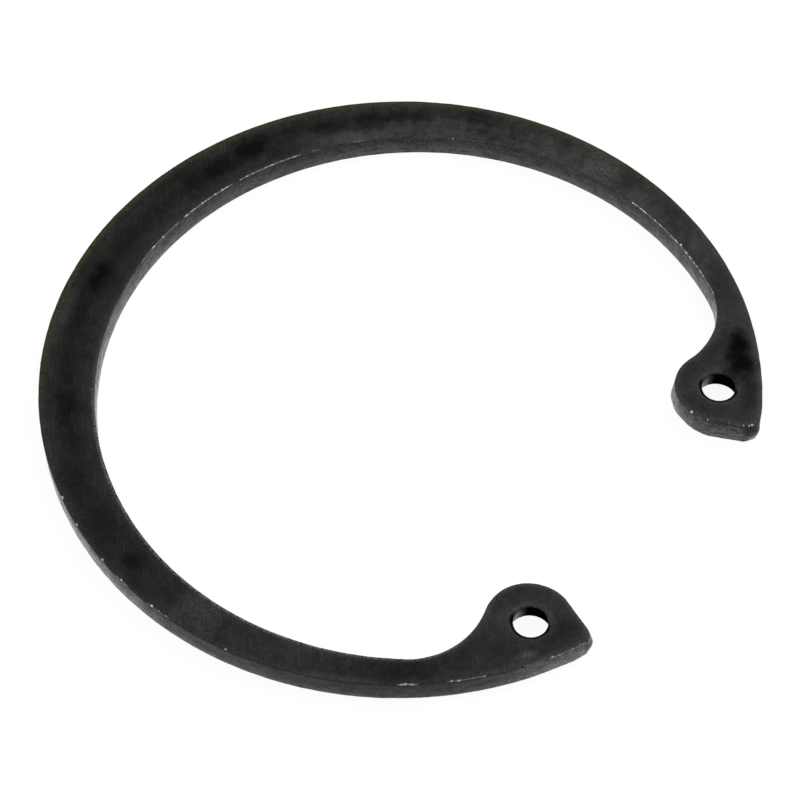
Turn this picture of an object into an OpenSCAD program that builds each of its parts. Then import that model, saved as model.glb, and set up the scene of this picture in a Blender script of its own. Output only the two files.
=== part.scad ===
// Retaining ring for the groove of a bore, stamped in one piece from spring steel.
// It lies flat with its lower face at z = 0. The z axis runs through the middle of its outer
// circle, and the gap between its two lugs opens towards -Y. Its left side mirrors its right side.

/* [Ring] */
// Outer diameter of the ring as it lies free
free_diameter = 56.2; // [52:0.1:62]
// Thickness of the spring steel
thickness = 2; // [1.5:0.05:2.6]
// Width of the beam straight across from the gap, where it is widest
beam_width = 4.7; // [4.2:0.05:5.4]
// Width that the beam would taper down to at the middle of the gap
taper_width = 1.5; // [1:0.05:2.4]

/* [Lugs] */
// Angle at the middle of the ring between the middle of the gap and each plier hole
hole_angle = 31.6; // [26:0.1:40]
// Diameter of the plier holes
hole_diameter = 2.9; // [2.4:0.05:3.6]
// Distance from the rim to the middle of each plier hole
hole_inset = 3.35; // [3.1:0.05:3.9]
// Depth of each lug, from the rim to its innermost point
lug_depth = 6.7; // [6.3:0.05:7.2]
// Radius of the round lobe of each lug
lobe_radius = 3.35; // [3:0.05:3.7]
// Radius of the hollow neck between the beam and each lobe
neck_radius = 6; // [4:0.1:8]
// How far each pointed tip reaches past its plier hole, measured along the rim
tip_reach = 2.95; // [2.3:0.05:3.6]
// Corner radius of the pointed tips
tip_radius = 0.85; // [0.5:0.05:1.2]

/* [Edges] */
// Rounding of the stamped edges, all the way round
edge_radius = 0.15; // [0.05:0.01:0.35]
// Rounding of both mouths of the plier holes
mouth_radius = 0.15; // [0.05:0.01:0.4]

/* [Hidden] */
$fn = 120;

rim_radius = free_diameter / 2;
hole_radius = hole_diameter / 2;

// The inner circle sits nearer to the gap than the rim does, so the beam tapers towards the lugs
inner_radius = rim_radius - (beam_width + taper_width) / 2;
inner_centre = [0, -(beam_width - taper_width) / 2];

// Middles of the right lug's circles: its plier hole, its lobe and the corner of its tip
hole_centre = from_gap(rim_radius - hole_inset, hole_angle);
lobe_centre = from_gap(rim_radius - lug_depth + lobe_radius, hole_angle);
tip_angle = hole_angle - tip_reach / rim_radius * 180 / PI;
tip_centre = from_gap(rim_radius - tip_radius, tip_angle);

// The neck's circle touches the inner circle from within and the lobe from outside
neck_centre = crossing(inner_centre, inner_radius - neck_radius, lobe_centre, lobe_radius + neck_radius);

// Directions in which the right lug's arcs meet, seen from the middle of each arc's circle
rim_to_tip = tip_angle - 90;
tip_to_lobe = direction(tip_centre - lobe_centre) - 90
    + asin((lobe_radius - tip_radius) / norm(tip_centre - lobe_centre));
lobe_to_neck = direction(neck_centre - lobe_centre);
neck_to_beam = direction(neck_centre - inner_centre);
middle_of_beam = 90;

// Angle from one point to the next along the arcs of the tip, the lug, the beam and a rounded edge
tip_step = 15;
lug_step = 8;
beam_step = 3;
edge_step = 30;

// The cutters pass this far beyond the steel
overrun = 1;
// The arc of the tip only grazes the rim, and the cutter leaves the steel by this much there
rim_crossing = 0.02;

// Point at a distance from the middle of the ring and an angle from the middle of the gap
function from_gap(distance, angle) = distance * [sin(angle), -cos(angle)];

function direction(v) = atan2(v[1], v[0]);

// Where two circles cross, on the left of the way from the first circle's middle to the second's
function crossing(a, radius_a, b, radius_b) =
    let (
        span = norm(b - a),
        ahead = (b - a) / span,
        along = (span * span + radius_a * radius_a - radius_b * radius_b) / (2 * span),
        aside = sqrt(radius_a * radius_a - along * along)
    )
    a + along * ahead + aside * [-ahead[1], ahead[0]];

function arc_count(start, end, step) = ceil(abs(end - start) / step);

// Points along an arc, from its point number first, where 1 leaves out one that is there already
function arc(centre, radius, start, end, step, first = 1) =
    let (count = arc_count(start, end, step))
    [for (i = [first : count]) let (a = start + (end - start) * i / count)
        centre + radius * [cos(a), sin(a)]];

// Right side of the open space, from outside the gap, round the lug and along the beam to its
// middle. The inset moves the wall into the steel, for the rounded edges.
function right_side(inset) = concat(
    [[0, -rim_radius - overrun]],
    [(rim_radius + overrun) * [tan(tip_angle), -1]],
    [from_gap(rim_radius - inset + rim_crossing, tip_angle)],
    arc(tip_centre, tip_radius - inset, rim_to_tip, tip_to_lobe, tip_step),
    arc(lobe_centre, lobe_radius - inset, tip_to_lobe + 360, lobe_to_neck, lug_step, first = 0),
    arc(neck_centre, neck_radius + inset, lobe_to_neck - 180, neck_to_beam, lug_step),
    arc(inner_centre, inner_radius + inset, neck_to_beam, middle_of_beam, beam_step)
);

// Number of the outline's point at which the right lobe begins
lobe_start = 3 + arc_count(rim_to_tip, tip_to_lobe, tip_step);

// The whole outline of the open space, with the left side as the mirror image of the right side
function open_outline(inset) =
    let (right = right_side(inset))
    concat(right, [for (i = [len(right) - 2 : -1 : 1]) [-right[i][0], right[i][1]]]);

// Inset and height of a wall with a rounded edge at its foot and its top
function wall(radius) = concat(
    [for (a = [90 : -edge_step : 0]) radius * [1 - cos(a), 1 - sin(a)]],
    [for (a = [0 : edge_step : 90]) [0, thickness] + radius * [1 - cos(a), sin(a) - 1]]
);

// The same wall for a cutter, which goes on straight below and above the steel
function cutter_wall(radius) = concat([[radius, -overrun]], wall(radius), [[radius, thickness + overrun]]);

// A face turned over, with the same first point
function turned_over(face) = [for (i = [0 : len(face) - 1]) face[(len(face) - i) % len(face)]];

// The round steel blank with its rounded rim
module blank() {
    rotate_extrude()
        polygon(concat(
            [[0, 0]],
            [for (level = wall(edge_radius)) [rim_radius - level[0], level[1]]],
            [[0, thickness]]
        ));
}

// The open middle and the gap: one outline for each level of the wall, closed at both ends by two
// flat faces that meet at a hub on the axis between the lugs and the middle of the ring
module open_space() {
    levels = cutter_wall(edge_radius);
    outlines = [for (level = levels) [for (p = open_outline(level[0])) [p[0], p[1], level[1]]]];
    count = len(outlines[0]);
    top = (len(levels) - 1) * count;
    hub_low = top + count;
    hub_high = hub_low + 1;
    hubs = [for (height = [-overrun, thickness + overrun]) [0, -rim_radius / 3, height]];
    wall_faces = [for (k = [0 : len(levels) - 2], i = [0 : count - 1])
        let (a = k * count + i, b = k * count + (i + 1) % count)
        [a, a + count, b + count, b]];
    points = concat([for (outline = outlines) each outline], hubs);
    ends = concat(end_faces(0, count, hub_low), [for (f = end_faces(top, count, hub_high)) turned_over(f)]);
    polyhedron(points, concat(wall_faces, ends));
}

// The two flat faces that close one end of the open space: across the gap and across the middle
function end_faces(start, count, hub) = [
    concat([for (i = [0 : lobe_start]) start + i], [hub], [for (i = [count - lobe_start : count - 1]) start + i]),
    concat([hub], [for (i = [lobe_start : count - lobe_start]) start + i])
];

// A plier hole with rounded mouths
module plier_hole() {
    translate(hole_centre)
        rotate_extrude()
            polygon(concat(
                [[0, -overrun]],
                [for (level = cutter_wall(mouth_radius)) [hole_radius + level[0], level[1]]],
                [[0, thickness + overrun]]
            ));
}

module retaining_ring() {
    color([0.14, 0.14, 0.13])
        difference() {
            blank();
            open_space();
            plier_hole();
            mirror([1, 0, 0]) plier_hole();
        }
}

retaining_ring();
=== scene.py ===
"""Looks of a circlip retaining ring: one stamped ring of blackened spring steel with two holed lugs.

Lengths are in millimetres up to the moment when a finished mesh is scaled to metres. The ring lies
flat with its lower face at z = 0, and the gap between its lugs opens towards -Y.
"""

from math import asin, atan2, cos, degrees, radians, sin, sqrt

import bmesh
import bpy
from mathutils import Matrix, Vector, kdtree, noise


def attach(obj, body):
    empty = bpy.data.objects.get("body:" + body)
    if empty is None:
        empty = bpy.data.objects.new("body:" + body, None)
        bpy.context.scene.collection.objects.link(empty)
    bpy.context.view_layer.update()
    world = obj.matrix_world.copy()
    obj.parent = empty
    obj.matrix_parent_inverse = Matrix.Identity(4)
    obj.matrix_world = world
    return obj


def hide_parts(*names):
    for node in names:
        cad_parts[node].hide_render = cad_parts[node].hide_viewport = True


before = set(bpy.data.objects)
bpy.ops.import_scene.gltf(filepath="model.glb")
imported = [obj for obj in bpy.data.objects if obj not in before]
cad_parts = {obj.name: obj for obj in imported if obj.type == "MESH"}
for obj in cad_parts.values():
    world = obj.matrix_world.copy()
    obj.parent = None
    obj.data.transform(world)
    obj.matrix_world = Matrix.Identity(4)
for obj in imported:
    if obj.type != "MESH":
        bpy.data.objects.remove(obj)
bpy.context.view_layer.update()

# A millimetre in metres
MM = 0.001

# Sizes of the ring, as in the solid
THICKNESS = 2.0
RIM_RADIUS = 28.1
BEAM_WIDTH = 4.7
TAPER_WIDTH = 1.5
HOLE_ANGLE = 31.6
HOLE_RADIUS = 1.45
HOLE_INSET = 3.35
LUG_DEPTH = 6.7
LOBE_RADIUS = 3.35
NECK_RADIUS = 6.0
TIP_REACH = 2.95
TIP_RADIUS = 0.85

# Rounding of the edges: stamping rolls the upper ones over and leaves the lower ones nearly sharp,
# apart from the mouths of the plier holes
EDGE_RADIUS = 0.11
FOOT_RADIUS = 0.05
UPPER_MOUTH_RADIUS = 0.25
LOWER_MOUTH_RADIUS = 0.15

# Number of faces along each stretch of the outline, across the beam, from a lug's outline to its
# plier hole, up a wall and round an edge
BEAM_STEPS = 400
NECK_STEPS = 48
LUG_RIM_STEPS = 60
TIP_STEPS = 24
END_STEPS = 30
LOBE_STEPS = 90
ROWS_ACROSS_BEAM = 8
ROWS_ROUND_HOLE = 4
WALL_ROWS = 8
EDGE_SEGMENTS = 4
# Width of the row of faces beside each edge, before the edge is rounded
MARGIN = 0.27

# Distance within which two points count as one, and within which a point is at a height
MERGE_DISTANCE = 0.002
LEVEL_TOLERANCE = 0.01
# Angle within which a point is on the line across the beam at which the lug begins
ANGLE_TOLERANCE = 0.02
# Distance past a plier hole's wall within which a point still belongs to the hole
HOLE_MARGIN = 0.1
# Angle between two faces past which the edge between them is rounded
SHARP_ANGLE = 60


def from_gap(distance, angle):
    """Point at a distance from the middle of the ring and an angle from the middle of the gap."""
    return Vector((distance * sin(radians(angle)), -distance * cos(radians(angle)), 0))


def angle_from_gap(point):
    return degrees(atan2(point.x, -point.y))


def direction(vector):
    return degrees(atan2(vector.y, vector.x))


def heading(angle):
    """Unit vector in a direction given in degrees."""
    return Vector((cos(radians(angle)), sin(radians(angle)), 0))


def crossing(a, radius_a, b, radius_b):
    """Where two circles cross, on the left of the way from the first circle's middle to the second's."""
    span = (b - a).length
    ahead = (b - a) / span
    along = (span**2 + radius_a**2 - radius_b**2) / (2 * span)
    aside = sqrt(radius_a**2 - along**2)
    return a + along * ahead + aside * Vector((-ahead.y, ahead.x, 0))


# Middles of the circles that the right half of the outline is made of
inner_radius = RIM_RADIUS - (BEAM_WIDTH + TAPER_WIDTH) / 2
inner_centre = Vector((0, -(BEAM_WIDTH - TAPER_WIDTH) / 2, 0))
hole_centre = from_gap(RIM_RADIUS - HOLE_INSET, HOLE_ANGLE)
lobe_centre = from_gap(RIM_RADIUS - LUG_DEPTH + LOBE_RADIUS, HOLE_ANGLE)
tip_angle = HOLE_ANGLE - degrees(TIP_REACH / RIM_RADIUS)
tip_centre = from_gap(RIM_RADIUS - TIP_RADIUS, tip_angle)
neck_centre = crossing(inner_centre, inner_radius - NECK_RADIUS, lobe_centre, LOBE_RADIUS + NECK_RADIUS)

# Directions in which its arcs meet, seen from the middle of each arc's circle
rim_to_tip = tip_angle - 90
tip_to_lobe = direction(tip_centre - lobe_centre) - 90 + degrees(
    asin((LOBE_RADIUS - TIP_RADIUS) / (tip_centre - lobe_centre).length)
)
lobe_to_neck = direction(neck_centre - lobe_centre)
neck_to_beam = direction(neck_centre - inner_centre)

# Angles from the gap at which the neck begins at the lobe and ends at the beam
lug_end = angle_from_gap(lobe_centre + LOBE_RADIUS * heading(lobe_to_neck))
neck_end = angle_from_gap(inner_centre + inner_radius * heading(neck_to_beam))


# Mesh tools
def run_of_edges(bm, start, steps, centre=(0, 0, 0), angle=0.0, shift=(0, 0, 0)):
    """Carries a vertex round a centre, or along a straight line. Gives its last place and the new edges."""
    known = set(bm.edges)
    spun = bmesh.ops.spin(
        bm, geom=[start], cent=centre, axis=(0, 0, 1), dvec=Vector(shift) / steps, angle=radians(angle),
        steps=steps, use_merge=False, use_normal_flip=False, use_duplicate=False,
    )
    last = next(v for v in spun["geom_last"] if isinstance(v, bmesh.types.BMVert))
    return last, [e for e in bm.edges if e not in known]


def bridge(bm, edges, rows):
    """Fills the strip between two runs of edges with rows of faces."""
    known = set(edges)
    faces = bmesh.ops.bridge_loops(bm, edges=edges)["faces"]
    across = [e for e in dict.fromkeys(e for f in faces for e in f.edges) if e not in known]
    bmesh.ops.subdivide_edges(bm, edges=across, cuts=rows - 1, use_grid_fill=True)


def near_hole(point, reach):
    """True within a distance of the middle of a plier hole."""
    return (Vector((abs(point.x), point.y, 0)) - hole_centre).length < reach


def half_plate(bm):
    """Lays the right half of the ring's plan as a sheet of even rows of faces."""
    back = bm.verts.new((0, RIM_RADIUS, 0))
    rim_neck, rim_beam_edges = run_of_edges(bm, back, BEAM_STEPS, angle=neck_end - 180)
    rim_lug, rim_neck_edges = run_of_edges(bm, rim_neck, NECK_STEPS, angle=lug_end - neck_end)
    rim_tip, lug_edges = run_of_edges(bm, rim_lug, LUG_RIM_STEPS, angle=tip_angle - lug_end)
    tip, tip_edges = run_of_edges(bm, rim_tip, TIP_STEPS, tip_centre, tip_to_lobe - rim_to_tip)
    end_shift = lobe_centre - tip_centre + (LOBE_RADIUS - TIP_RADIUS) * heading(tip_to_lobe)
    lobe, end_edges = run_of_edges(bm, tip, END_STEPS, shift=end_shift)
    neck, lobe_edges = run_of_edges(bm, lobe, LOBE_STEPS, lobe_centre, lobe_to_neck - tip_to_lobe - 360)
    beam, neck_edges = run_of_edges(bm, neck, NECK_STEPS, neck_centre, neck_to_beam - lobe_to_neck + 180)
    inner_edges = run_of_edges(bm, beam, BEAM_STEPS, inner_centre, 90 - neck_to_beam)[1]
    bridge(bm, rim_beam_edges + rim_neck_edges + neck_edges + inner_edges, ROWS_ACROSS_BEAM)

    around = lug_edges + tip_edges + end_edges + lobe_edges + [e for e in bm.edges if on_lug_end(e)]
    known = set(bm.edges)
    bmesh.ops.create_circle(
        bm, cap_ends=False, radius=HOLE_RADIUS, segments=len(around), matrix=Matrix.Translation(hole_centre)
    )
    bridge(bm, around + [e for e in bm.edges if e not in known], ROWS_ROUND_HOLE)


def on_lug_end(edge):
    """True for an edge on the straight line across the beam at which the lug begins."""
    return all(abs(angle_from_gap(v.co) - lug_end) < ANGLE_TOLERANCE for v in edge.verts)


def sharp_edges(bm, height, at_hole):
    """Edges at which two faces meet squarely at a height: those of the plier holes' mouths, or all others."""
    return [
        e for e in bm.edges
        if all(abs(v.co.z - height) < LEVEL_TOLERANCE for v in e.verts)
        and e.is_manifold and e.calc_face_angle() > radians(SHARP_ANGLE)
        and near_hole(e.verts[0].co, HOLE_RADIUS + HOLE_MARGIN) == at_hole
    ]


def stamped_ring():
    """The whole ring with rounded edges, in millimetres."""
    bm = bmesh.new()
    half_plate(bm)
    both_sides = bm.verts[:] + bm.edges[:] + bm.faces[:]
    bmesh.ops.mirror(bm, geom=both_sides, axis="X", merge_dist=MERGE_DISTANCE)
    bmesh.ops.remove_doubles(bm, verts=bm.verts, dist=MERGE_DISTANCE)
    bmesh.ops.inset_region(
        bm, faces=bm.faces, thickness=MARGIN, use_even_offset=True, use_boundary=True
    )
    upper = bmesh.ops.extrude_face_region(bm, geom=bm.faces, use_keep_orig=True)["geom"]
    bmesh.ops.translate(
        bm, vec=(0, 0, THICKNESS), verts=[g for g in upper if isinstance(g, bmesh.types.BMVert)]
    )
    bmesh.ops.recalc_face_normals(bm, faces=bm.faces)
    roundings = (
        (EDGE_RADIUS, THICKNESS, False), (FOOT_RADIUS, 0, False),
        (UPPER_MOUTH_RADIUS, THICKNESS, True), (LOWER_MOUTH_RADIUS, 0, True),
    )
    for radius, height, at_hole in roundings:
        bmesh.ops.bevel(
            bm, geom=sharp_edges(bm, height, at_hole), offset=radius, offset_type="OFFSET", affect="EDGES",
            segments=EDGE_SEGMENTS, profile=0.5, material=-1,
        )
    upright = [e for e in bm.edges if abs(e.verts[0].co.z - e.verts[1].co.z) > THICKNESS / 2]
    bmesh.ops.subdivide_edges(bm, edges=upright, cuts=WALL_ROWS - 1, use_grid_fill=True)
    return bm


# Names of the values kept on each point of the ring's mesh
BORDER = "border"
RUBBED = "rubbed_and_lit_side"
NICK = "nick"

# Places of the ring's three finishes in its list of materials
FACE, WALL, HOLE = range(3)

# How far a lug's wall stands out, where a negative length is inwards: direction from the middle of the
# right lobe, and the lengths at the upper edge, halfway down beyond a straight wall, and at the foot
LUG_FORM = (
    (40, 0.12, 0.0, 0.12),
    (98, 0.07, 0.0, 0.09),
    (110, 0.055, 0.0, 0.25),
    (116, 0.05, 0.0, 0.25),
    (128, 0.03, 0.0, 0.11),
    (143, 0.0, 0.0, 0.03),
    (158, -0.04, 0.0, -0.085),
    (173, -0.06, 0.0, -0.045),
    (188, -0.08, 0.0, 0.0),
    (203, -0.09, 0.0, 0.08),
    (241, -0.09, 0.05, 0.08),
    (246, -0.12, 0.2, -0.11),
    (249, -0.12, 0.27, -0.12),
    (252.5, -0.10, 0.24, -0.08),
    (256, -0.01, 0.14, -0.07),
    (259.5, 0.02, 0.05, -0.08),
    (267, 0.06, 0.0, 0.0),
    (288, 0.07, 0.0, -0.04),
    (313, 0.12, 0.0, -0.06),
    (335, 0.08, 0.0, -0.03),
    (400, 0.02, 0.0, 0.0),
)
# How far inwards from the wall its shift is felt
LUG_LEAN_REACH = 0.95
# How far the upper edge of a lug sinks, over which width, and the share of it along the beam
SHOULDER_DROP = 0.10
SHOULDER_REACH = 0.8
BEAM_SHOULDER = 0.25
# Angle along the rim over which a lug's lean and its soft shoulder die away
RIM_LEAN_ANGLE = 12.0
RIM_SHOULDER_ANGLE = 34.0
# How far the inner wall of the left beam stands out, the middle of that stretch and its half length
BEAM_SWELL = 0.045
SWELL_ANGLE = -126.0
SWELL_SPAN = 50.0
# How much wider a plier hole's wall is at its foot and narrower at its top, and how far into the
# steel that is felt
HOLE_FOOT_OUT = 0.17
HOLE_TOP_IN = 0.21
HOLE_LEAN_REACH = 0.9
# Angle from level past which a face has the finish of the walls, and at a plier hole that of its wall
WALL_STEEPNESS = 45
HOLE_STEEPNESS = 70
# The shallow dish round the upper mouth of a plier hole
DISH_DROP = 0.02
DISH_REACH = 0.5
# Width of the strip beside each edge in which the finish is worn thin and painted paler as sheen
BORDER_REACH = 0.6
# Least share of the upper edge that is rubbed, along the beam and at the lugs
BEAM_EDGE_WEAR = 0.3
LUG_EDGE_WEAR = 0.45
# Distance by which a point of a rounded edge is clear of the face and of the wall
CREST_MARGIN = 0.0005
# Distance from half the thickness within which a point is on the middle row of a wall
MIDDLE_REACH = 0.1
# Unevenness of the walls, and the waves per millimetre, shift and share of each of its patterns
RIPPLE_DEPTH = 0.03
RIPPLES = (
    (0.9, (0, 0, 0), 0.6),
    (3.1, (7, 3, 5), 0.4),
)

# Stretches of the upper edges where bare steel shows: on the rim, first and last angle from the
# gap, and share of the edge laid bare
RUBBED_STRETCHES = (
    (True, -121.0, -105.0, 0.5),
    (True, -102.4, -99.6, 0.85),
    (True, -95.6, -91.2, 0.8),
    (True, -54.8, -51.6, 0.9),
    (True, -47.5, -41.4, 0.8),
    (True, -35.6, -32.2, 0.75),
    (True, -31.6, -25.4, 0.86),
    (False, 51.5, 77.5, 0.92),
    (False, 109.0, 118.5, 0.6),
    (False, 132.8, 135.2, 0.75),
    (False, 142.0, 143.6, 0.75),
    (False, 146.0, 159.6, 0.95),
    (False, 161.3, 174.2, 0.93),
    (False, 175.5, 188.0, 0.8),
)

# Small chips in the edges: angle from the gap, distance from the middle, height, reach and depth
NICKS = (
    (-119.5, 28.1, 2.0, 0.34, 0.10),
    (-113.9, 28.1, 2.0, 0.26, 0.08),
    (-106.2, 28.1, 2.0, 0.30, 0.08),
    (-101.4, 28.1, 2.0, 0.26, 0.07),
    (-94.7, 28.1, 2.0, 0.30, 0.09),
    (-93.3, 28.1, 2.0, 0.24, 0.07),
    (-91.8, 28.1, 2.0, 0.24, 0.07),
    (-81.0, 28.1, 2.0, 0.22, 0.05),
    (-53.4, 28.1, 2.0, 0.30, 0.08),
    (-46.6, 28.1, 2.0, 0.26, 0.06),
    (-31.1, 28.1, 2.0, 0.24, 0.05),
    (-27.8, 28.1, 2.0, 0.22, 0.05),
    (-26.4, 28.05, 2.0, 0.18, 0.03),
    (25.2, 22.8, 1.9, 0.26, 0.05),
    (23.9, 24.1, 1.9, 0.26, 0.05),
    (24.0, 26.9, 1.9, 0.16, 0.03),
    (24.1, 27.35, 1.9, 0.18, 0.03),
    (24.4, 27.55, 1.9, 0.18, 0.03),
    (55.6, 25.7, 2.0, 0.26, 0.08),
    (64.3, 25.8, 2.0, 0.24, 0.07),
    (148.5, 23.6, 2.0, 0.24, 0.06),
    (169.0, 23.4, 2.0, 0.30, 0.07),
)


def smooth_fall(distance, reach):
    """1 at no distance, falling smoothly to 0 at the reach."""
    t = min(max(distance / reach, 0.0), 1.0)
    return 1 - t * t * (3 - 2 * t)


def on_rim(point):
    return Vector((point.x, point.y)).length > RIM_RADIUS - EDGE_RADIUS


def lug_shares(point):
    """How much of a lug's lean, and of its soft shoulder, a place on the outline has."""
    angle = abs(angle_from_gap(point))
    if on_rim(point):
        past_tip = angle - tip_angle
        return smooth_fall(past_tip, RIM_LEAN_ANGLE), smooth_fall(past_tip, RIM_SHOULDER_ANGLE)
    share = smooth_fall(angle - lug_end, neck_end - lug_end)
    return share, share


def lug_form(point):
    """How far a lug's wall stands out at its upper edge, halfway down and at its foot."""
    turn = direction(Vector((abs(point.x), point.y, 0)) - lobe_centre) % 360
    if turn < LUG_FORM[0][0]:
        turn = turn + 360 if on_rim(point) else LUG_FORM[0][0]
    for (a, *lengths_a), (b, *lengths_b) in zip(LUG_FORM, LUG_FORM[1:]):
        if a <= turn <= b:
            share = (turn - a) / (b - a)
            return tuple(before + (after - before) * share for before, after in zip(lengths_a, lengths_b))
    return LUG_FORM[-1][1:]


def beam_swell(point):
    """How far the inner wall stands out along the left beam, at a place on the outline."""
    if on_rim(point):
        return 0.0
    return BEAM_SWELL * smooth_fall(abs(angle_from_gap(point) - SWELL_ANGLE), SWELL_SPAN)


def rubbed_share(point):
    """How much of the upper edge is laid bare at a place on the outline."""
    angle = angle_from_gap(point)
    share = 0.0
    for rim, first, last, bare in RUBBED_STRETCHES:
        turned = angle + 360 if angle < first and last > 180 else angle
        if rim == on_rim(point) and first <= turned <= last:
            share = max(share, bare)
    return share


def form_walls(bm):
    """Leans and softens the walls, as stamping and tumbling leave them, and notes where they wear."""
    border = bm.verts.layers.float.new(BORDER)
    rubbed_and_lit_side = bm.verts.layers.float.new(RUBBED)
    bm.normal_update()
    middle = [v for v in bm.verts if abs(v.co.z - THICKNESS / 2) < MIDDLE_REACH]
    outline = [(v.co.copy(), v.normal.copy(), near_hole(v.co, HOLE_RADIUS + HOLE_MARGIN)) for v in middle]
    shares = [
        lug_shares(place) + (rubbed_share(place), beam_swell(place)) + lug_form(place)
        for place, _, _ in outline
    ]
    tree = kdtree.KDTree(len(outline))
    for index, (place, _, _) in enumerate(outline):
        tree.insert((place.x, place.y, 0), index)
    tree.balance()
    for v in bm.verts:
        here = Vector((v.co.x, v.co.y, 0))
        nearest, index, _ = tree.find(here)
        out, at_hole = outline[index][1:]
        lean, shoulder, bare, swell, top_out, middle_out, foot_out = shares[index]
        depth = (nearest - here).dot(out)
        height = v.co.z / THICKNESS
        crest = CREST_MARGIN < THICKNESS - v.co.z < EDGE_RADIUS - CREST_MARGIN
        v[border] = smooth_fall(depth, BORDER_REACH)
        if at_hole:
            v[rubbed_and_lit_side] = 0.0
            slope = HOLE_TOP_IN * height - HOLE_FOOT_OUT * (1 - height)
            shift = slope * smooth_fall(depth, HOLE_LEAN_REACH)
            drop = DISH_DROP * max(1 - depth / DISH_REACH, 0) ** 2
        else:
            bulge = middle_out * (4 * height * (1 - height)) ** 2
            shift = foot_out * (1 - height) + top_out * height + bulge
            shift = (shift * lean + swell) * smooth_fall(depth, LUG_LEAN_REACH)
            softness = max(shoulder, BEAM_SHOULDER)
            drop = SHOULDER_DROP * softness * max(1 - depth / SHOULDER_REACH, 0) ** 2
            v[rubbed_and_lit_side] = max(bare, LUG_EDGE_WEAR * lean, BEAM_EDGE_WEAR) if crest else 0.0
        v.co += out * shift - Vector((0, 0, drop * height**4))


def wear_edges(bm):
    """Makes the walls faintly uneven, as shearing leaves them, and knocks small chips out of the edges."""
    bm.normal_update()
    nick = bm.verts.layers.float.new(NICK)
    border = bm.verts.layers.float[BORDER]
    shifts = []
    for v in bm.verts:
        ripple = sum(noise.noise(v.co * waves + Vector(start)) * share for waves, start, share in RIPPLES)
        shifts.append(v.normal * ripple * RIPPLE_DEPTH * v[border])
    for v, shift in zip(bm.verts, shifts):
        v.co += Vector((shift.x, shift.y, min(shift.z, 0.0) if v.co.z > THICKNESS / 2 else 0.0))
    for angle, distance, height, reach, depth in NICKS:
        centre = from_gap(distance, angle) + Vector((0, 0, height))
        for v in bm.verts:
            span = (v.co - centre).length
            if span < reach:
                fall = smooth_fall(span, reach)
                v.co -= v.normal * depth * fall
                v[nick] = max(v[nick], fall)


def sort_faces(bm):
    """Gives each face its finish, and smooths the shading."""
    for f in bm.faces:
        middle = f.calc_center_median()
        f.smooth = True
        at_hole = near_hole(middle, HOLE_RADIUS + HOLE_FOOT_OUT + HOLE_MARGIN)
        limit = cos(radians(HOLE_STEEPNESS if at_hole else WALL_STEEPNESS))
        if abs(f.normal.z) > limit:
            f.material_index = FACE
        else:
            f.material_index = HOLE if at_hole else WALL


# Node tools
def add(tree, kind, inputs=None, **settings):
    """Adds a node. An input is named or numbered: a socket given for it is linked, and a value is set."""
    made = tree.nodes.new(kind)
    for name, value in settings.items():
        setattr(made, name, value)
    for key, value in (inputs or {}).items():
        if isinstance(value, bpy.types.NodeSocket):
            tree.links.new(value, made.inputs[key])
        else:
            made.inputs[key].default_value = value
    return made


def maths(tree, operation, a, b=0.0):
    return add(tree, "ShaderNodeMath", {0: a, 1: b}, operation=operation).outputs[0]


def chain(tree, operation, first, *others):
    """One operation over several values in turn."""
    for other in others:
        first = maths(tree, operation, first, other)
    return first


def product(tree, *values):
    return chain(tree, "MULTIPLY", *values)


def greatest(tree, *values):
    return chain(tree, "MAXIMUM", *values)


def weighted(tree, *parts):
    """Sum of masks, each with its share."""
    return chain(tree, "ADD", *[product(tree, mask, share) for mask, share in parts])


def vector_maths(tree, operation, a, b=(0, 0, 0)):
    return add(tree, "ShaderNodeVectorMath", {0: a, 1: b}, operation=operation).outputs["Vector"]


def dot_product(tree, a, b):
    return add(tree, "ShaderNodeVectorMath", {0: a, 1: b}, operation="DOT_PRODUCT").outputs["Value"]


def coordinate(tree, place, axis):
    """One coordinate of a place: X, Y or Z."""
    return add(tree, "ShaderNodeSeparateXYZ", {0: place}).outputs[axis]


def length_in_plan(tree, vector):
    """Length of a vector seen from above."""
    flat = vector_maths(tree, "MULTIPLY", vector, (1, 1, 0))
    return add(tree, "ShaderNodeVectorMath", {0: flat}, operation="LENGTH").outputs["Value"]


def stretched(tree, place, x, y, z):
    """Places measured in their own unit along each axis, so that a pattern on them is drawn out."""
    units = add(tree, "ShaderNodeCombineXYZ", {"X": x, "Y": y, "Z": z}).outputs["Vector"]
    return vector_maths(tree, "DIVIDE", place, units)


def blend(tree, factor, a, b):
    """Colour a turning into colour b by a factor."""
    inputs = {"Factor": factor, 6: a, 7: b}
    return add(tree, "ShaderNodeMix", inputs, data_type="RGBA").outputs[2]


def spread(tree, value, low, high, to_low=0.0, to_high=1.0):
    """A value's range from low to high, eased and stretched over another range."""
    inputs = {"Value": value, "From Min": low, "From Max": high, "To Min": to_low, "To Max": to_high}
    return add(tree, "ShaderNodeMapRange", inputs, interpolation_type="SMOOTHSTEP").outputs["Result"]


def graded(tree, mask, at_none, at_full):
    """A value that turns from one number to another as a mask goes from 0 to 1."""
    return spread(tree, mask, 0.0, 1.0, at_none, at_full)


def towards(tree, place, side, low, high, most=1.0):
    """How far a place lies towards one side, between two distances from the middle of the ring."""
    return spread(tree, dot_product(tree, place, side), low, high, 0.0, most)


def grain(tree, place, size, detail=2.0, distortion=0.0):
    """Noise with features of about a size, at places in millimetres."""
    scale = maths(tree, "DIVIDE", 1.0, size)
    inputs = {"Vector": place, "Scale": scale, "Detail": detail, "Distortion": distortion}
    return add(tree, "ShaderNodeTexNoise", inputs).outputs["Fac"]


def kept_value(tree, name):
    """A value kept on each point of the ring's mesh."""
    return add(tree, "ShaderNodeAttribute", attribute_name=name).outputs["Fac"]


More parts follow.
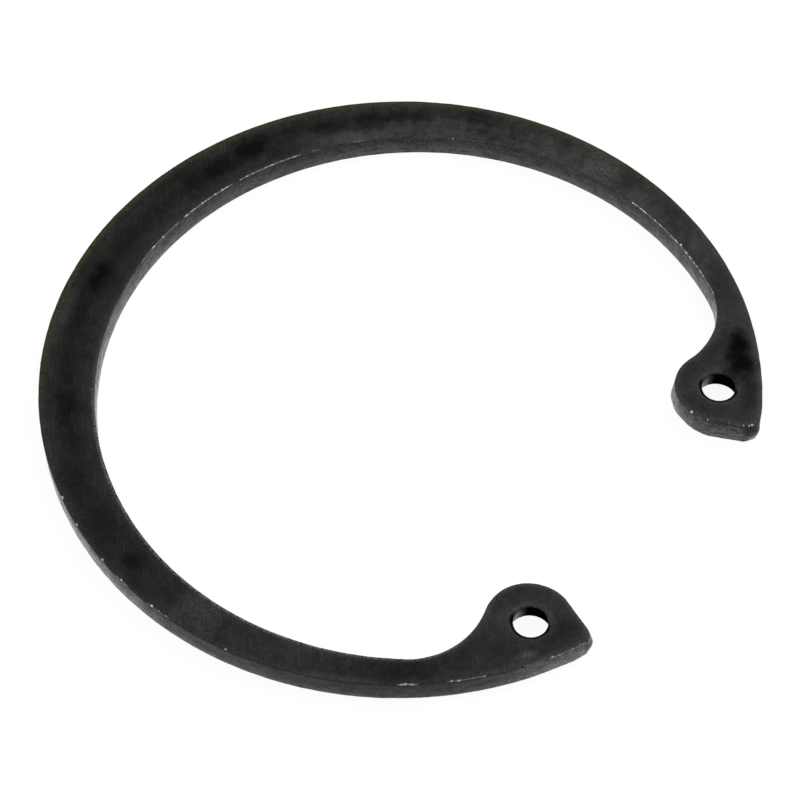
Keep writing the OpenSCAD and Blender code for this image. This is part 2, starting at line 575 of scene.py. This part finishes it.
def new_group(name, inputs, output="Mask"):
    """A node group with named sockets. Gives the group, its inputs and its output as they are inside."""
    group = bpy.data.node_groups.new(name, "ShaderNodeTree")
    for label, value in inputs.items():
        kind = "NodeSocketVector" if isinstance(value, tuple) else "NodeSocketFloat"
        group.interface.new_socket(name=label, in_out="INPUT", socket_type=kind).default_value = value
    group.interface.new_socket(name=output, in_out="OUTPUT", socket_type="NodeSocketFloat")
    return group, group.nodes.new("NodeGroupInput").outputs, group.nodes.new("NodeGroupOutput").inputs[0]


def effect(tree, group, place, **values):
    """A shared effect laid over the ring with its own values."""
    inputs = {name.replace("_", " "): value for name, value in values.items()}
    return add(tree, "ShaderNodeGroup", {"Place": place, **inputs}, node_tree=group).outputs[0]


# Size of the flakes in which the finish comes off an edge, and how bare the thin line between them is
FLAKE_SIZE = 0.32
THIN_LINE_BARE = 0.28


# Shared effects
def clouds_group():
    """Soft uneven patches of a size, as oil and phosphate dry on a face."""
    inputs = {"Place": (0, 0, 0), "Size": 4.0, "Low": 0.4, "High": 0.6}
    group, given, made = new_group("clouds", inputs)
    cloud = grain(group, given["Place"], given["Size"], detail=3.0, distortion=0.5)
    group.links.new(spread(group, cloud, given["Low"], given["High"]), made)
    return group


def stain_group():
    """One long soft patch with a frayed border, laid in a direction."""
    inputs = {
        "Place": (0, 0, 0), "Centre": (0, 0, 0), "Along": (1, 0, 0),
        "Length": 2.0, "Width": 1.0, "Fray": 0.0,
    }
    group, given, made = new_group("stain", inputs)
    offset = vector_maths(group, "SUBTRACT", given["Place"], given["Centre"])
    along = dot_product(group, offset, given["Along"])
    across = dot_product(group, offset, vector_maths(group, "CROSS_PRODUCT", given["Along"], (0, 0, 1)))
    far_along = maths(group, "POWER", maths(group, "DIVIDE", along, given["Length"]), 2.0)
    far_across = maths(group, "POWER", maths(group, "DIVIDE", across, given["Width"]), 2.0)
    span = maths(group, "SQRT", maths(group, "ADD", far_along, far_across))
    share = maths(group, "ADD", span, given["Fray"])
    group.links.new(spread(group, share, 0.15, 1.15, 1.0, 0.0), made)
    return group


def streaks_group():
    """Long fine lines that run along a wall, as the tool drags them."""
    inputs = {"Place": (0, 0, 0), "Length": 4.0, "Height": 0.15, "Low": 0.35, "High": 0.65}
    group, given, made = new_group("streaks", inputs)
    drawn_out = stretched(group, given["Place"], given["Length"], given["Length"], given["Height"])
    lines = grain(group, drawn_out, 1.0, detail=3.0)
    group.links.new(spread(group, lines, given["Low"], given["High"]), made)
    return group


def strokes_group():
    """Short straight marks that all lean one way, as handling and wiping leave them."""
    inputs = {"Place": (0, 0, 0), "Turn": 30.0, "Length": 1.6, "Width": 0.16, "Low": 0.5, "High": 0.7}
    group, given, made = new_group("wiped strokes", inputs)
    turn = {"Vector": given["Place"], "Angle": maths(group, "RADIANS", given["Turn"])}
    turned = add(group, "ShaderNodeVectorRotate", turn, rotation_type="Z_AXIS").outputs["Vector"]
    drawn_out = stretched(group, turned, given["Length"], given["Width"], given["Length"])
    marks = grain(group, drawn_out, 1.0)
    group.links.new(spread(group, marks, given["Low"], given["High"]), made)
    return group


def speckles_group():
    """Small separate specks."""
    inputs = {"Place": (0, 0, 0), "Size": 0.12, "Threshold": 0.6, "Softness": 0.05}
    group, given, made = new_group("speckles", inputs)
    specks = grain(group, given["Place"], given["Size"], detail=1.0)
    top = maths(group, "ADD", given["Threshold"], given["Softness"])
    group.links.new(spread(group, specks, given["Threshold"], top), made)
    return group


def edge_wear_group():
    """Where the black finish is off: a thin line with bare flakes along the edges, and the chips."""
    inputs = {"Place": (0, 0, 0), "Rubbed": 0.0, "Nick": 0.0}
    group, given, made = new_group("edge wear", inputs, "Bare Steel")
    flakes = grain(group, given["Place"], FLAKE_SIZE, detail=3.0)
    lack = product(group, maths(group, "SUBTRACT", given["Rubbed"], 1.0), 0.42)
    rubbed_and_lit_side = spread(group, maths(group, "ADD", flakes, lack), 0.45, 0.53)
    thinned = spread(group, given["Rubbed"], 0.5, 1.0, 0.0, THIN_LINE_BARE)
    chipped = spread(group, product(group, given["Nick"], maths(group, "ADD", flakes, 0.4)), 0.3, 0.6)
    group.links.new(greatest(group, rubbed_and_lit_side, thinned, chipped), made)
    return group


def handling_group():
    """How worn a place is by the handling of the lugs, from 1 at the lobes to 0 along the beam."""
    group, given, made = new_group("lug handling", {"Place": (0, 0, 0), "Near": 4.0, "Far": 7.0})
    folded = vector_maths(group, "ABSOLUTE", given["Place"])
    offset = vector_maths(group, "SUBTRACT", folded, (hole_centre.x, -hole_centre.y, 0))
    near = spread(group, length_in_plan(group, offset), given["Near"], given["Far"], 1.0, 0.0)
    front = spread(group, coordinate(group, given["Place"], "Y"), 0.0, -1.0)
    group.links.new(product(group, near, front), made)
    return group


def surface_group():
    """Height of a fine mineral grain over a softer unevenness."""
    inputs = {"Place": (0, 0, 0), "Coarse": 0.5, "Fine": 0.09, "Fine Share": 0.4}
    group, given, made = new_group("surface grain", inputs, "Height")
    coarse = grain(group, given["Place"], given["Coarse"])
    fine = product(group, grain(group, given["Place"], given["Fine"]), given["Fine Share"])
    group.links.new(maths(group, "ADD", coarse, fine), made)
    return group


CLOUDS = clouds_group()
STAIN = stain_group()
STREAKS = streaks_group()
STROKES = strokes_group()
SPECKLES = speckles_group()
EDGE_WEAR = edge_wear_group()
HANDLING = handling_group()
SURFACE = surface_group()

# Colour of bare steel, and how much smoother it is than the finish
BARE_STEEL = (0.50, 0.49, 0.47, 1)
BARE_SMOOTHER = 0.15

# Colours of the upper and lower faces: the phosphate at its darkest and palest, its side painted dark as
# shade and its side painted pale as light, pale and dark marks of wiping, borders worn and painted with
# sheen, the inner edge painted with a grey sheen, specks, dry patches, dried oil that also paints shade
# at the holes' near lips, and the tinge of the rim
FACE_DARK = (0.006, 0.0063, 0.0057, 1)
FACE_PALE = (0.0245, 0.0248, 0.023, 1)
SHADED_FACE_BLACK = (0.003, 0.0033, 0.0028, 1)
LIT_FACE_GREY = (0.075, 0.0755, 0.0725, 1)
WIPED_GREY = (0.06, 0.06, 0.057, 1)
WIPED_BLACK = (0.004, 0.004, 0.004, 1)
WORN_AND_SHEEN_GREY = (0.062, 0.0595, 0.060, 1)
EDGE_SHEEN_GREY = (0.14, 0.125, 0.145, 1)
SPECK_GREY = (0.10, 0.10, 0.096, 1)
DRIED_GREY = (0.085, 0.085, 0.082, 1)
OIL_AND_SHADE_BLACK = (0.0008, 0.0008, 0.0009, 1)
OLIVE = (0.042, 0.045, 0.012, 1)

# Colours of the walls: at their darkest and palest, paler at the foot, specked, sheared deep,
# handled and painted with highlights, and rusty
WALL_DARK = (0.002, 0.002, 0.002, 1)
WALL_PALE = (0.032, 0.0317, 0.030, 1)
FOOT_GREY = (0.085, 0.083, 0.078, 1)
WALL_SPECK = (0.16, 0.155, 0.15, 1)
DEEP_SHEAR = (0.001, 0.001, 0.001, 1)
HANDLED_AND_HIGHLIGHT_GREY = (0.29, 0.284, 0.277, 1)
RUST = (0.022, 0.010, 0.008, 1)

# Colours of the plier holes: their walls at their darkest and palest, painted near black as shade,
# and their side painted lit
HOLE_SHADE_DARK = (0.001, 0.001, 0.001, 1)
HOLE_SHADE_PALE = (0.005, 0.005, 0.0048, 1)
HOLE_LIT_GREY = (0.3, 0.295, 0.285, 1)

# Dark patches of dried oil on the upper face: angle from the gap, distance from the middle, half
# their length, half their width, and strength
STAINS = (
    (37.0, 26.6, 2.6, 1.5, 1.0),
    (40.3, 26.6, 2.4, 1.2, 1.0),
    (34.4, 25.8, 1.7, 1.1, 0.65),
    (30.5, 27.2, 2.6, 0.9, 0.45),
    (53.0, 26.6, 3.6, 1.2, 0.16),
    (72.5, 26.6, 2.0, 1.6, 0.3),
    (81.5, 26.6, 1.5, 1.7, 0.3),
    (111.0, 26.8, 3.4, 1.2, 0.5),
    (108.0, 25.6, 3.4, 1.0, 0.3),
    (118.0, 27.0, 3.6, 1.1, 0.35),
    (125.5, 26.5, 3.2, 1.2, 0.6),
    (131.5, 26.1, 3.2, 1.4, 0.72),
    (138.0, 26.0, 3.2, 1.3, 0.65),
    (145.5, 26.6, 3.4, 1.2, 0.4),
    (154.3, 26.0, 3.0, 1.7, 0.8),
    (161.0, 25.6, 3.4, 1.5, 0.7),
    (167.0, 25.6, 3.0, 1.3, 0.5),
    (170.0, 27.0, 2.8, 1.0, 0.4),
    (178.0, 25.5, 4.0, 1.3, 0.35),
    (-175.0, 25.6, 3.6, 1.3, 0.4),
    (-165.6, 25.8, 2.8, 1.4, 0.75),
    (-156.5, 25.8, 3.6, 1.2, 0.4),
    (-145.0, 25.9, 4.0, 1.2, 0.4),
    (-137.0, 25.9, 3.2, 1.3, 0.6),
    (-130.0, 25.9, 3.2, 1.2, 0.4),
    (-121.0, 26.6, 4.2, 1.2, 0.28),
    (-111.5, 26.6, 4.2, 1.3, 0.25),
    (-103.0, 26.5, 1.4, 1.0, 0.6),
    (-54.0, 26.7, 3.0, 1.3, 0.4),
    (-27.5, 26.3, 2.0, 1.1, 0.35),
)

# Dry, paler patches of the upper face, described in the same way
DRY_PATCHES = (
    (86.5, 26.4, 2.2, 2.4, 0.45),
    (114.5, 24.8, 3.2, 0.5, 0.15),
    (134.0, 24.4, 4.6, 0.8, 0.3),
    (-157.0, 27.2, 3.2, 0.8, 0.25),
    (-88.0, 26.4, 2.6, 2.4, 0.35),
    (-64.0, 27.9, 4.5, 0.4, 0.25),
    (-34.6, 27.3, 1.1, 0.5, 0.6),
    (-34.0, 23.6, 1.6, 0.8, 0.2),
)

# Distance of the beam's middle line from the middle of the ring
BEAM_MIDDLE = 25.9

# Directions in plan towards the side where the face is painted darker as shade, where it is painted
# paler as light, where its inner edge is painted with a grey sheen, and where its rim is tinged olive
SHADED_SIDE = (-0.44, 0.90, 0)
LIT_SIDE = (1.0, 0.1, 0)
SHEEN_EDGE_SIDE = (-0.99, -0.14, 0)
OLIVE_SIDE = (0.5, 0.87, 0)

# Direction in plan towards the stretch of the walls that is sheared deeper down
DEEP_SIDE = (-0.92, -0.39, 0)

# Directions in plan, from the middle of a plier hole, towards the side of its wall that is painted lit,
# and towards the side of its upper mouth that is painted with a dark line of shade
LIT_HOLE_SIDE = (-0.6, 0.8, 0)
SHADED_LIP_SIDE = (-0.97, -0.24, 0)

# Middle of a rusty spot on the end wall of the right lug, and of a painted highlight on the point of the left
# lug
RUST_SPOT = (11.1, -24.95, 1.4)
TIP_HIGHLIGHT_SPOT = (-tip_centre.x + 0.3, tip_centre.y - 0.3, 1.0)


def start_material(name):
    """A material with its shader, the places on the ring in millimetres, and the bare steel of its edges."""
    material = bpy.data.materials.new(name)
    material.use_nodes = True
    tree = material.node_tree
    coordinates = add(tree, "ShaderNodeTexCoord").outputs["Object"]
    scaling = {0: coordinates, "Scale": 1 / MM}
    place = add(tree, "ShaderNodeVectorMath", scaling, operation="SCALE").outputs["Vector"]
    bare = effect(tree, EDGE_WEAR, place, Rubbed=kept_value(tree, RUBBED), Nick=kept_value(tree, NICK))
    return material, tree, tree.nodes["Principled BSDF"], place, bare


def finish_material(tree, shader, colour, roughness, bare, height, bump):
    """Links a finish to its shader, with bare steel where the finish is rubbed off."""
    links = tree.links
    links.new(blend(tree, bare, colour, BARE_STEEL), shader.inputs["Base Color"])
    links.new(bare, shader.inputs["Metallic"])
    wear_and_sheen = maths(tree, "SUBTRACT", roughness, product(tree, bare, BARE_SMOOTHER))
    links.new(wear_and_sheen, shader.inputs["Roughness"])
    inputs = {"Height": height, "Strength": 1.0, "Distance": bump * MM}
    links.new(add(tree, "ShaderNodeBump", inputs).outputs["Normal"], shader.inputs["Normal"])


def hole_side(tree, place, side, low, high):
    """How far a place lies on one side of its plier hole, between two shares of the hole's radius."""
    shares = []
    for sign in (1, -1):
        this_lug = spread(tree, product(tree, coordinate(tree, place, "X"), sign), 0.0, 1.0)
        offset = vector_maths(tree, "SUBTRACT", place, (sign * hole_centre.x, hole_centre.y, 0))
        share = spread(tree, dot_product(tree, offset, side), HOLE_RADIUS * low, HOLE_RADIUS * high)
        shares.append(product(tree, share, this_lug))
    return maths(tree, "ADD", *shares)


def patches(tree, place, rows, fray):
    """Soft patches on the upper face, one for each row of a table."""
    masks = []
    for angle, distance, length, width, strength in rows:
        centre = from_gap(distance, angle) + Vector((0, 0, THICKNESS))
        sizes = {"Length": length, "Width": width, "Fray": fray}
        patch = effect(tree, STAIN, place, Centre=centre, Along=heading(angle), **sizes)
        masks.append(product(tree, patch, strength))
    return greatest(tree, *masks)


def blackened_face():
    """Black phosphate on the rolled upper and lower faces: satin, cloudy, faintly olive near the rim."""
    material, tree, shader, place, bare = start_material("blackened_face")
    shader.inputs["Specular IOR Level"].default_value = 0.02
    shader.inputs["Coat Roughness"].default_value = 0.45
    border = kept_value(tree, BORDER)
    from_middle = length_in_plan(tree, place)
    lugs = effect(tree, HANDLING, place, Near=4.5, Far=7.5)
    clouds = effect(tree, CLOUDS, place, Size=5.0, Low=0.35, High=0.65)
    mottle = effect(tree, CLOUDS, place, Size=0.9, Low=0.3, High=0.7)
    fine = effect(tree, CLOUDS, place, Size=0.15, Low=0.36, High=0.64)
    tone = weighted(tree, (clouds, 0.34), (mottle, 0.4), (fine, 0.26))
    colour = blend(tree, tone, FACE_DARK, FACE_PALE)

    # Painted shade on the back-left side of the face, and painted light on its right side
    from_band = maths(tree, "ABSOLUTE", maths(tree, "SUBTRACT", from_middle, BEAM_MIDDLE))
    band = spread(tree, from_band, 0.2, 2.0, 0.5, 0.12)
    # Painted shade: the back-left side of the face is darkened, most along the beam's middle line
    painted_shade = towards(tree, place, SHADED_SIDE, 4.0, 16.0)
    colour = blend(tree, product(tree, painted_shade, band), colour, SHADED_FACE_BLACK)
    # Painted light: the right side of the face is made paler
    painted_light = towards(tree, place, LIT_SIDE, 13.0, 26.0, most=0.62)
    painted_light = product(tree, painted_light, spread(tree, from_middle, 27.6, 25.6, 0.45, 1.0), tone)
    colour = blend(tree, painted_light, colour, LIT_FACE_GREY)

    # Marks of wiping
    strokes = effect(tree, STROKES, place, Turn=-40.0)
    colour = blend(tree, product(tree, strokes, clouds, 0.2), colour, WIPED_GREY)
    dark_strokes = effect(tree, STROKES, place, Turn=52.0, Length=0.9, Width=0.26)
    colour = blend(tree, product(tree, dark_strokes, mottle, 0.4), colour, WIPED_BLACK)

    # Borders worn and painted paler as sheen, and a painted grey sheen along the inner edge
    # Partly wear and partly painted sheen: a paler strip beside each edge, strongest at the lugs
    wear_and_sheen = product(tree, border, graded(tree, fine, 0.3, 1.0), graded(tree, lugs, 0.3, 0.85))
    colour = blend(tree, wear_and_sheen, colour, WORN_AND_SHEEN_GREY)
    # Painted sheen: a pale grey band along the inner edge on the front-left side, where its rounding catches
    # the light
    off_rim = spread(tree, from_middle, 27.2, 27.7, 1.0, 0.0)
    sheen_side = towards(tree, place, SHEEN_EDGE_SIDE, 6.0, 18.0)
    sheen_edge = product(tree, spread(tree, border, 0.45, 0.9), off_rim, sheen_side, fine)
    sheen_edge = product(tree, sheen_edge, graded(tree, lugs, 1.0, 0.1), 0.9)
    colour = blend(tree, sheen_edge, colour, EDGE_SHEEN_GREY)

    # Specks, dry patches, dried oil, and painted shade at the near lips of the plier holes
    specks = effect(tree, SPECKLES, place, Size=0.14, Threshold=0.62)
    colour = blend(tree, product(tree, specks, 0.1), colour, SPECK_GREY)
    fray = product(tree, maths(tree, "SUBTRACT", grain(tree, place, 0.8, detail=3.0), 0.5), 1.1)
    dry = product(tree, patches(tree, place, DRY_PATCHES, fray), graded(tree, fine, 0.4, 1.0))
    colour = blend(tree, dry, colour, DRIED_GREY)
    # Painted shade: a black line round the near side of each plier hole's upper mouth, added to the dried oil
    lip_shade = effect(tree, HANDLING, place, Near=HOLE_RADIUS + 0.03, Far=HOLE_RADIUS + 0.15)
    lip_shade = product(tree, lip_shade, hole_side(tree, place, SHADED_LIP_SIDE, -0.4, 0.1))
    oil_and_lip_shade = greatest(tree, patches(tree, place, STAINS, fray), lip_shade)
    colour = blend(tree, oil_and_lip_shade, colour, OIL_AND_SHADE_BLACK)

    # The tinge of the rim
    rim = spread(tree, from_middle, 27.3, 27.9)
    tinged = product(tree, rim, fine, towards(tree, place, OLIVE_SIDE, 4.0, 16.0), 0.9)
    colour = blend(tree, tinged, colour, OLIVE)

    tree.links.new(graded(tree, oil_and_lip_shade, 0.14, 0.0), shader.inputs["Coat Weight"])
    roughness = graded(tree, clouds, 0.46, 0.58)
    height = effect(tree, SURFACE, place)
    finish_material(tree, shader, colour, roughness, bare, height, bump=0.012)
    return material


def sheared_wall():
    """The stamped walls: darker near the top, paler and glossier down to the foot."""
    material, tree, shader, place, bare = start_material("sheared_wall")
    shader.inputs["Specular IOR Level"].default_value = 0.1
    shader.inputs["Coat Roughness"].default_value = 0.3
    height_up = coordinate(tree, place, "Z")
    deep = towards(tree, place, DEEP_SIDE, 22.0, 26.5)
    lugs = effect(tree, HANDLING, place, Near=3.7, Far=5.2)
    streaks = effect(tree, STREAKS, place, Length=2.4, Height=0.22)
    blotches = effect(tree, CLOUDS, place, Size=1.1, Low=0.38, High=0.62)
    small = effect(tree, CLOUDS, place, Size=0.34, Low=0.35, High=0.65)
    fine = effect(tree, CLOUDS, place, Size=0.15, Low=0.3, High=0.7)
    tone = weighted(tree, (streaks, 0.3), (blotches, 0.2), (small, 0.25), (fine, 0.25))
    colour = blend(tree, spread(tree, tone, 0.2, 0.85), WALL_DARK, WALL_PALE)

    # Paler towards the foot, starting lower down where the wall is sheared deep
    foot = maths(tree, "POWER", spread(tree, height_up, 1.9, 0.0), graded(tree, deep, 1.4, 2.6))
    foot_tone = product(tree, foot, spread(tree, tone, 0.15, 0.7, 0.4, 1.0))
    colour = blend(tree, product(tree, foot_tone, 0.4), colour, FOOT_GREY)
    specks = effect(tree, SPECKLES, place, Size=0.13, Threshold=0.62)
    colour = blend(tree, product(tree, specks, 0.5), colour, WALL_SPECK)
    colour = blend(tree, product(tree, deep, 0.75), colour, DEEP_SHEAR)

    # Wear of the lugs, a painted highlight on the left lug's point, and a painted highlight along the crest
    # below the upper edge
    scratches = effect(tree, STREAKS, place, Length=0.7, Height=0.14, Low=0.5, High=0.6)
    scratched = weighted(tree, (scratches, 0.6), (fine, 0.4))
    # Painted highlight: a pale patch on the point of the left lug
    tip_highlight = effect(tree, STAIN, place, Centre=TIP_HIGHLIGHT_SPOT, Along=heading(270), Length=0.8, Width=1.2)
    handling_and_highlight = product(tree, lugs, 0.75, graded(tree, foot, 0.4, 1.0))
    handling_and_highlight = product(tree, greatest(tree, handling_and_highlight, tip_highlight), scratched)
    # Painted highlight: a pale band along the top of every wall, just below the upper edge
    crest = product(tree, spread(tree, height_up, 1.82, 1.95), graded(tree, deep, 0.1, 0.06))
    colour = blend(tree, greatest(tree, handling_and_highlight, crest), colour, HANDLED_AND_HIGHLIGHT_GREY)

    rust = effect(tree, STAIN, place, Centre=RUST_SPOT, Along=heading(235), Length=0.45, Width=0.45)
    rust = product(tree, rust, spread(tree, height_up, 0.5, 0.8))
    colour = blend(tree, product(tree, rust, 0.8), colour, RUST)

    gloss = maths(tree, "ADD", product(tree, foot_tone, 0.72), 0.13)
    gloss = product(tree, gloss, graded(tree, deep, 1.0, 0.6), graded(tree, lugs, 1.0, 0.5))
    gloss = product(tree, gloss, graded(tree, rust, 1.0, 0.3))
    tree.links.new(gloss, shader.inputs["Coat Weight"])
    roughness = spread(tree, tone, 0.2, 0.8, 0.42, 0.18)
    height = effect(tree, SURFACE, place, Coarse=0.34, Fine=0.10, Fine_Share=0.5)
    finish_material(tree, shader, colour, roughness, bare, height, bump=0.035)
    return material


def plier_hole_wall():
    """The punched walls of the plier holes: painted near black as shade, with one side of each painted lit.
    """
    material, tree, shader, place, bare = start_material("plier_hole_wall")
    # Painted shade: near-black hole walls with no specular
    shader.inputs["Specular IOR Level"].default_value = 0.0
    streaks = effect(tree, STREAKS, place, Length=0.16, Height=1.5)
    fine = effect(tree, CLOUDS, place, Size=0.2, Low=0.35, High=0.65)
    # Painted light: one side of each hole wall is pale and partly metallic, strongest towards the foot
    lit_towards_foot = spread(tree, coordinate(tree, place, "Z"), 2.0, 0.7, 0.3, 1.0)
    rubbed_and_lit_side = product(tree, hole_side(tree, place, LIT_HOLE_SIDE, 0.05, 0.85), lit_towards_foot)
    rubbed_and_lit_side = product(tree, rubbed_and_lit_side, graded(tree, fine, 0.6, 1.0))
    colour = blend(tree, rubbed_and_lit_side, blend(tree, streaks, HOLE_SHADE_DARK, HOLE_SHADE_PALE), HOLE_LIT_GREY)
    bare = greatest(tree, bare, product(tree, rubbed_and_lit_side, 0.6))
    roughness = graded(tree, streaks, 0.4, 0.6)
    height = effect(tree, SURFACE, place, Coarse=0.25, Fine=0.08)
    finish_material(tree, shader, colour, roughness, bare, height, bump=0.02)
    return material


def new_object(name, data):
    """An object of the scene that holds a mesh, a lamp or a camera."""
    made = bpy.data.objects.new(name, data)
    bpy.context.scene.collection.objects.link(made)
    return made


def mesh_object(name, bm, *finishes):
    """An object made of a finished bmesh and its materials."""
    mesh = bpy.data.meshes.new(name)
    bm.to_mesh(mesh)
    bm.free()
    for finish in finishes:
        mesh.materials.append(finish)
    return new_object(name, mesh)


def retaining_ring():
    bm = stamped_ring()
    form_walls(bm)
    wear_edges(bm)
    bm.normal_update()
    sort_faces(bm)
    bmesh.ops.scale(bm, vec=(MM, MM, MM), verts=bm.verts)
    ring = mesh_object("retaining_ring_detail", bm, blackened_face(), sheared_wall(), plier_hole_wall())
    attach(ring, "root")
    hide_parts("retaining_ring")


# Studio: width of the floor in metres, its grey for the light and as it is seen, its glow as it is
# seen, and the light of the world
FLOOR_SIZE = 6.0
FLOOR_GREY = 0.75
FLOOR_GREY_SEEN = 0.11
GLOW_SEEN = 0.92
WORLD_LIGHT = 0.5

# Distance of the lamps from the ring and their width, in metres
LAMP_DISTANCE = 0.6
LAMP_SIZE = 0.5


def pale_floor_material():
    """White to the camera and in the steel, and a plain pale grey to the light, with the ring's shadow."""
    material = bpy.data.materials.new("pale_floor")
    material.use_nodes = True
    tree = material.node_tree
    shader = tree.nodes["Principled BSDF"]
    shader.inputs["Roughness"].default_value = 1.0
    shader.inputs["Specular IOR Level"].default_value = 0.0
    shader.inputs["Emission Color"].default_value = (1, 1, 1, 1)
    path = add(tree, "ShaderNodeLightPath").outputs
    seen = greatest(tree, path["Is Camera Ray"], path["Is Transmission Ray"], path["Is Glossy Ray"])
    greys = [(grey, grey, grey, 1) for grey in (FLOOR_GREY, FLOOR_GREY_SEEN)]
    tree.links.new(blend(tree, seen, *greys), shader.inputs["Base Color"])
    tree.links.new(product(tree, seen, GLOW_SEEN), shader.inputs["Emission Strength"])
    return material


def pale_floor():
    bm = bmesh.new()
    bmesh.ops.create_grid(bm, x_segments=1, y_segments=1, size=FLOOR_SIZE / 2)
    floor = mesh_object("floor", bm, pale_floor_material())


def soft_world():
    world = bpy.data.worlds.new("soft_studio")
    world.use_nodes = True
    background = world.node_tree.nodes["Background"]
    background.inputs["Color"].default_value = (1, 1, 1, 1)
    background.inputs["Strength"].default_value = WORLD_LIGHT
    bpy.context.scene.world = world


def outward(azimuth, elevation):
    """Unit vector from the ring towards an azimuth, 0 over -Y and 90 over +X, and an elevation."""
    a, e = radians(azimuth), radians(elevation)
    return Vector((sin(a) * cos(e), -cos(a) * cos(e), sin(e)))


def soft_light(name, azimuth, elevation, power):
    """A square soft lamp that faces the ring."""
    lamp = bpy.data.lights.new(name, "AREA")
    lamp.shape = "SQUARE"
    lamp.size = LAMP_SIZE
    lamp.energy = power
    light = new_object(name, lamp)
    out = outward(azimuth, elevation)
    light.location = out * LAMP_DISTANCE
    light.rotation_mode = "QUATERNION"
    light.rotation_quaternion = out.to_track_quat("Z", "Y")


# Camera: its place round the ring in degrees, its distance and target in metres, and its lens
CAMERA_AZIMUTH = -53.4
CAMERA_ELEVATION = 54.16
CAMERA_ROLL = -1.066
CAMERA_DISTANCE = 0.20936
CAMERA_TARGET = Vector((-0.00119, -0.00086, 0))
CAMERA_NEAR = 0.01
LENS = 120.58
SENSOR = 36.0


def photo_camera():
    """The camera at the photograph's viewing angle."""
    camera = bpy.data.cameras.new("camera")
    camera.lens = LENS
    camera.sensor_width = SENSOR
    camera.clip_start = CAMERA_NEAR
    view = new_object("camera", camera)
    out = outward(CAMERA_AZIMUTH, CAMERA_ELEVATION)
    view.location = CAMERA_TARGET + out * CAMERA_DISTANCE
    view.rotation_mode = "QUATERNION"
    roll = Matrix.Rotation(radians(CAMERA_ROLL), 3, "Z").to_quaternion()
    view.rotation_quaternion = out.to_track_quat("Z", "Y") @ roll
    bpy.context.scene.camera = view


retaining_ring()
pale_floor()
soft_world()
soft_light("left_lamp", azimuth=-130, elevation=50, power=1.0)
soft_light("right_lamp", azimuth=75, elevation=45, power=2.4)
photo_camera()
bpy.context.scene.view_settings.view_transform = "Standard"
